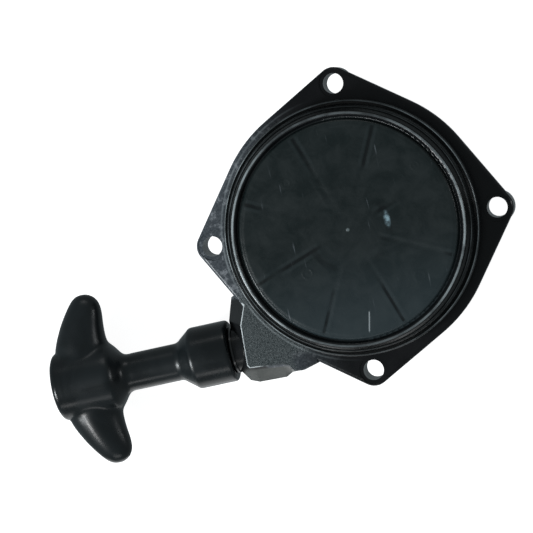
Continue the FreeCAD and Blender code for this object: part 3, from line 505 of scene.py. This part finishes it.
PAWL_STEEL = metal("hard_steel", (0.32, 0.32, 0.33), (0.15, 0.14, 0.14), 0.36, (1, 1, 1), 0.3 * MM)
PIN_STEEL = metal("pin_steel", (0.52, 0.52, 0.53), (0.34, 0.34, 0.35), 0.22, (1, 1, 0.2), 0.3 * MM)
BRONZE = sintered_bronze("sintered_bronze")
BRAID_TURNS = braid("braid_turns", along_x=False)
BRAID_LEAD = braid("braid_lead", along_x=True)

NODE_MATERIALS = {
    "starter_case": CAST, "rope_guide": GUIDE, "spring_case": PRESSED, "recoil_spring": STRIP,
    "rope_reel": NYLON, "reel_bush": BRONZE, "pawl_pins": PIN_STEEL, "friction_spring": SPRING_WIRE,
    "return_spring": SPRING_WIRE, "pawl_a": PAWL_STEEL, "pawl_b": PAWL_STEEL, "guide_plate": PLATE,
    "thrust_washer": PRESSED, "centre_screw": SCREW, "pull_grip": GRIP, "grip_cap": GRIP,
    "knot_washer": PLATE, "rope_windings": BRAID_TURNS, "reel_knot": BRAID_TURNS,
    "grip_knot": BRAID_TURNS, "rope_lead": BRAID_LEAD,
}


def dress(obj, material):
    """Gives an object one material in every slot."""
    if not obj.material_slots:
        obj.data.materials.append(material)
    for slot in obj.material_slots:
        slot.material = material


for node_name, node_material in NODE_MATERIALS.items():
    dress(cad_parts[node_name], node_material)


# ---- Mesh helpers -------------------------------------------------------------------------------

WELD = 0.002 * MM


def new_piece(name, vertices, faces, material, smooth=True):
    mesh = bpy.data.meshes.new(name)
    mesh.from_pydata([tuple(v) for v in vertices], [], faces)
    mesh.validate()
    mesh.polygons.foreach_set("use_smooth", [smooth] * len(mesh.polygons))
    piece = bpy.data.objects.new(name, mesh)
    bpy.context.scene.collection.objects.link(piece)
    mesh.materials.append(material)
    return piece


def copy_of_node(node, name, material):
    """A free copy of a CAD node's mesh, welded, to build a piece from."""
    piece = bpy.data.objects.new(name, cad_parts[node].data.copy())
    piece.data.name = name
    bpy.context.scene.collection.objects.link(piece)
    work = bmesh.new()
    work.from_mesh(piece.data)
    bmesh.ops.remove_doubles(work, verts=work.verts, dist=WELD)
    work.to_mesh(piece.data)
    work.free()
    dress(piece, material)
    return piece


def add_smoothing(piece, steps, group=""):
    """Adds a smoothing modifier, held to a vertex group where one is named."""
    modifier = piece.modifiers.new("smoothing", "SMOOTH")
    modifier.factor = 0.5
    modifier.iterations = steps
    modifier.vertex_group = group


def apply_modifiers(piece):
    """Replaces the piece's mesh by what its modifiers make of it."""
    graph = bpy.context.evaluated_depsgraph_get()
    made = bpy.data.meshes.new_from_object(piece.evaluated_get(graph))
    piece.modifiers.clear()
    piece.data = made
    made.polygons.foreach_set("use_smooth", [True] * len(made.polygons))


def tube_faces(rings, segments):
    """Quads between rings of points, with one face across each end."""
    faces = []
    for i in range(rings - 1):
        here, there = i * segments, (i + 1) * segments
        for k in range(segments):
            after = (k + 1) % segments
            faces.append((here + k, here + after, there + after, there + k))
    faces.append(tuple(reversed(range(segments))))
    faces.append(tuple(range((rings - 1) * segments, rings * segments)))
    return faces


def sweep(name, path, normals, outline, segments, material):
    """A tube along a path, with a UV map of (turn, metres along it). outline(run, turn) is its radius."""
    path, normals = np.array(path), np.array(normals)
    tangents = np.gradient(path, axis=0)
    tangents /= np.linalg.norm(tangents, axis=1)[:, None]
    sides = np.cross(tangents, normals)
    run = np.concatenate([[0], np.cumsum(np.linalg.norm(np.diff(path, axis=0), axis=1))])
    turn = np.arange(segments) * 2 * math.pi / segments
    size = outline(run[:, None], turn[None, :])
    points = (path[:, None, :] + size[:, :, None] * (np.cos(turn)[None, :, None] * normals[:, None, :]
                                                      + np.sin(turn)[None, :, None] * sides[:, None, :]))
    piece = new_piece(name, points.reshape(-1, 3), tube_faces(len(path), segments), material)
    layer = piece.data.uv_layers.new(name="UVMap")
    for polygon in piece.data.polygons:
        for loop in polygon.loop_indices:
            ring, k = divmod(piece.data.loops[loop].vertex_index, segments)
            # In the quad that closes a ring, the points on the seam are at u = 1 instead of 0.
            wraps = polygon.loop_total == 4 and k == 0 and polygon.vertices[1] % segments == 0
            layer.data[loop].uv = ((k + (segments if wraps else 0)) / segments, run[ring])
    return piece


def plaited(radius):
    """The outline of a braided cord: bulges where strands cross over."""
    def outline(run, turn):
        crown = np.abs(np.cos(STRANDS * turn) * np.cos(math.pi * run / BRAID_LAY)) ** 0.6
        return radius * (0.92 + 0.08 * crown)
    return outline


def plain(radius):
    """The outline of a cord of one radius all over."""
    def outline(run, turn):
        return np.full(np.broadcast(run, turn).shape, radius)
    return outline


# ---- Face skin ----------------------------------------------------------------------------------

def bell(distance, width, power=2):
    """1 at no distance, falling away over this width."""
    return math.exp(-(distance / width) ** power)


def rib_relief(radius, turn):
    """The sink over each rib behind the face and the low swell beside it, in mm."""
    off = (turn - RIB_TURN + RIB_STEP / 2) % RIB_STEP - RIB_STEP / 2
    across = radius * math.sin(math.radians(off)) / MM
    along = min(1.0, max(0.0, (radius / MM - RIB_START) / 4.0))
    depth = RIB_DEPTHS[round((turn - RIB_TURN) / RIB_STEP) % RIBS]
    return depth * along * (0.5 * bell(across - 1.9, 0.8) - bell(across, 1.1))


def mark_relief(x, y):
    """The plain cast rings, each with a dot, and the short cut line, in mm."""
    height = 0.0
    for mark_x, mark_y, mark_r in RING_MARKS:
        gap = math.hypot(x / MM - mark_x, y / MM - mark_y)
        height += 0.07 * bell(gap - mark_r, 0.35) + 0.05 * bell(gap, 0.5)
    cut_y = y / MM - CUT_Y
    return height - 0.10 * bell(cut_y, 4.0, 4) * bell(x / MM - CUT_X - CUT_SLANT * cut_y, 0.22)


def face_relief(x, y):
    """Height of the face above its plane, in metres: ribs read through, a pip and a few cast marks."""
    radius, turn = math.hypot(x, y), math.degrees(math.atan2(y, x))
    height = 0.020 * noise.noise(Vector((x, y, 0.0)) / (13 * MM))
    height += 0.008 * noise.noise(Vector((x, y, 3.0)) / (5 * MM))
    height += rib_relief(radius, turn) + mark_relief(x, y)
    height -= 0.035 * bell(radius / MM - 11.8, 1.3)
    height += 0.16 * bell(radius / MM, 0.7, 4)
    edge = min(1.0, max(0.0, (SKIN_R - radius) / EDGE_ROLL))
    edge = edge * edge * (3 - 2 * edge)
    return ((height + SKIN_LIFT) * edge - EDGE_SINK * (1 - edge)) * MM


def face_skin():
    """A thin skin on the flat face that carries its shallow relief."""
    vertices = [(0.0, 0.0, FACE_TOP + face_relief(0.0, 0.0))]
    for i in range(1, SKIN_RINGS + 1):
        radius = SKIN_R * i / SKIN_RINGS
        for k in range(SKIN_SEGMENTS):
            turn = 2 * math.pi * k / SKIN_SEGMENTS
            x, y = radius * math.cos(turn), radius * math.sin(turn)
            vertices.append((x, y, FACE_TOP + face_relief(x, y)))
    faces = [(0, 1 + k, 1 + (k + 1) % SKIN_SEGMENTS) for k in range(SKIN_SEGMENTS)]
    for i in range(SKIN_RINGS - 1):
        here, there = 1 + i * SKIN_SEGMENTS, 1 + (i + 1) * SKIN_SEGMENTS
        for k in range(SKIN_SEGMENTS):
            after = (k + 1) % SKIN_SEGMENTS
            faces.append((here + k, there + k, there + after, here + after))
    skin = new_piece("face_skin", vertices, faces, CAST_FACE)
    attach(skin, "housing")


# ---- Grip ---------------------------------------------------------------------------------------

def raise_parting_line(piece, low, high):
    """Raises a fine line all round at the height of the rope, and keeps the piece in its box."""
    count = len(piece.data.vertices)
    points, normals = np.empty(count * 3), np.empty(count * 3)
    piece.data.vertices.foreach_get("co", points)
    piece.data.vertex_normals.foreach_get("vector", normals)
    points, normals = points.reshape(-1, 3), normals.reshape(-1, 3)
    ridge = PARTING_HEIGHT * np.exp(-((points[:, 2] - ROPE_Z) / PARTING_WIDTH) ** 2)
    points = np.clip(points + normals * ridge[:, None], np.array(low), np.array(high))
    piece.data.vertices.foreach_set("co", points.ravel())
    piece.data.update()


def soft_grip():
    """The grip with its edges rounded as a moulding, and a fine parting line round it."""
    grip = copy_of_node("pull_grip", "grip_moulding", GRIP)
    remesh = grip.modifiers.new("even", "REMESH")
    remesh.mode = "VOXEL"
    remesh.voxel_size = GRIP_VOXEL
    add_smoothing(grip, SOFTEN_STEPS)
    apply_modifiers(grip)
    low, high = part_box("pull_grip")
    hub = grip.vertex_groups.new(name="hub")
    for share in HUB_SHARES:
        first = low.x + (HUB_SPAN[0] + HUB_FADE * share) * MM
        last = low.x + (HUB_SPAN[1] - HUB_FADE * share) * MM
        hub.add([v.index for v in grip.data.vertices if first < v.co.x < last], share, "REPLACE")
    add_smoothing(grip, HUB_STEPS, "hub")
    apply_modifiers(grip)
    raise_parting_line(grip, low, high)
    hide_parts("pull_grip")
    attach(grip, "handle")


# ---- Rope ---------------------------------------------------------------------------------------

def spiral_path():
    """Points along the turns on the reel and the tail into its knot pocket."""
    points = []
    for i in range(ROPE_HALF_TURNS):
        centre = Vector((0, 0, ROPE_Z)) if i % 2 == 0 else Vector((0, ROPE_PITCH / 2, ROPE_Z))
        radius = ROPE_OUT_R - i * ROPE_PITCH / 2
        count = int(math.pi * radius / PATH_STEP)
        for k in range(count):
            turn = math.radians(-90 + 180 * i + 180 * k / count)
            points.append(centre + Vector((math.cos(turn), math.sin(turn), 0)) * radius)
    low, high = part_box("reel_knot")
    knot = (low + high) / 2
    start, bend = points[-1], points[-1] + (points[-1] - points[-2]).normalized() * TAIL_BEND
    for k in range(1, TAIL_POINTS + 1):
        share = k / TAIL_POINTS
        points.append(start * (1 - share) ** 2 + bend * 2 * share * (1 - share) + knot * share ** 2)
    return points


def rope_on_reel():
    """The braided turns on the reel."""
    path = spiral_path()
    piece = sweep("rope_turns", path, [(0, 0, 1)] * len(path), plaited(ROPE_R), TURN_SEGMENTS, BRAID_TURNS)
    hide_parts("rope_windings")
    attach(piece, "reel")


def rope_run():
    """The straight rope, close-ringed where it draws out of the case as the grip is pulled."""
    bend_start, bend_end = GUIDE_X + 9.2 * MM, GUIDE_X - 0.8 * MM
    xs = list(np.arange(LEAD_HIGH.x, bend_start, -RUN_STEP))
    xs += list(np.linspace(bend_start, bend_end, DRAW_RINGS, endpoint=False))
    xs += list(np.arange(bend_end, LEAD_LOW.x, -RUN_STEP)) + [LEAD_LOW.x]
    path = [(x, ROPE_Y, ROPE_Z) for x in xs]
    piece = sweep("rope_run", path, [(0, 0, 1)] * len(path), plain(ROPE_R), RUN_SEGMENTS, BRAID_LEAD)
    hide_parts("rope_lead")
    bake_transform(piece)


def trefoil(turn):
    """A point of an overhand knot of unit size, flattened along its third axis."""
    radius = 2.0 + math.cos(3 * turn)
    return radius * math.cos(2 * turn) / 3, radius * math.sin(2 * turn) / 3, math.sin(3 * turn) * 0.8


def overhand_knot(node, name, body):
    """A pulled-tight overhand knot in the space of a CAD ball."""
    low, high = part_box(node)
    centre, reach = (low + high) / 2, (high - low) / 2
    inner = [r - KNOT_STRAND for r in reach]
    loop = []
    for k in range(KNOT_POINTS):
        p = Vector(trefoil(2 * math.pi * k / KNOT_POINTS))
        loop.append(centre + Vector((p.z * inner[0], p.x * inner[1], p.y * inner[2])))
    loop.append(loop[0])
    normals = []
    for point, tangent in zip(loop, np.gradient(np.array(loop), axis=0)):
        out = point - centre
        along = Vector(tangent).normalized()
        normals.append((out - along * out.dot(along)).normalized())
    piece = sweep(name, loop, normals, plaited(KNOT_STRAND), RUN_SEGMENTS, BRAID_TURNS)
    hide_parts(node)
    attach(piece, body)


# ---- Return spring ------------------------------------------------------------------------------

def winding_spring():
    """The guide plate's return spring, which winds as the plate lags behind the reel."""
    spring = copy_of_node("return_spring", "return_coil", SPRING_WIRE)
    spring.data.polygons.foreach_set("use_smooth", [True] * len(spring.data.polygons))
    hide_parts("return_spring")
    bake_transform(spring)


face_skin()
soft_grip()
rope_on_reel()
rope_run()
overhand_knot("reel_knot", "knot_in_reel", "reel")
overhand_knot("grip_knot", "knot_in_grip", "handle")
winding_spring()


# ---- Floor, light and camera --------------------------------------------------------------------

def floor():
    """A plain pale floor, seen from above only, so that the open rear of the case stays lit."""
    corners = [(-FLOOR_HALF, -FLOOR_HALF, FLOOR_Z), (FLOOR_HALF, -FLOOR_HALF, FLOOR_Z),
               (FLOOR_HALF, FLOOR_HALF, FLOOR_Z), (-FLOOR_HALF, FLOOR_HALF, FLOOR_Z)]
    plane = new_piece("floor", corners, [(0, 1, 2, 3)], None, smooth=False)
    s = Shader("pale_floor", Roughness=0.8)
    s.set("Base Color", s.mix(s.noise(0.5), (0.34, 0.34, 0.34), (0.36, 0.36, 0.36)))
    s.set("Emission Color", (1.0, 1.0, 1.0, 1.0))
    s.set("Emission Strength", FLOOR_GLOW)
    seen = s.node("ShaderNodeLightPath").outputs["Is Camera Ray"]
    s.set("Alpha", s.times(seen, s.minus(1.0, s.node("ShaderNodeNewGeometry").outputs["Backfacing"])))
    dress(plane, s.material)


def soft_light(name, place, width, height, power, colour):
    """A soft box that faces the middle of the object."""
    data = bpy.data.lights.new(name, "AREA")
    data.shape = "RECTANGLE"
    data.size, data.size_y = width, height
    data.energy = power
    data.color = colour
    lamp = bpy.data.objects.new(name, data)
    lamp.location = place
    lamp.rotation_mode = "QUATERNION"
    lamp.rotation_quaternion = (LIGHT_TARGET - Vector(place)).to_track_quat("-Z", "Y")
    bpy.context.scene.collection.objects.link(lamp)


def sky():
    """A dim, slightly cool light from all round."""
    world = bpy.data.worlds.new("studio")
    world.use_nodes = True
    background = world.node_tree.nodes["Background"]
    background.inputs["Color"].default_value = SKY_COLOUR
    background.inputs["Strength"].default_value = SKY_STRENGTH
    bpy.context.scene.world = world


def camera():
    """The camera looks down on the closed face from a little to the right."""
    data = bpy.data.cameras.new("camera")
    data.sensor_width = SENSOR
    data.lens = LENS
    data.clip_end = 20.0
    eye = bpy.data.objects.new("camera", data)
    turn = Matrix((EYE_RIGHT, EYE_UP, EYE_RIGHT.cross(EYE_UP))).transposed()
    eye.matrix_world = Matrix.Translation(EYE_PLACE) @ turn.to_4x4()
    bpy.context.scene.collection.objects.link(eye)
    bpy.context.scene.camera = eye


floor()
for light in LIGHTS:
    soft_light(*light)
sky()
camera()
bpy.context.scene.view_settings.view_transform = "Standard"
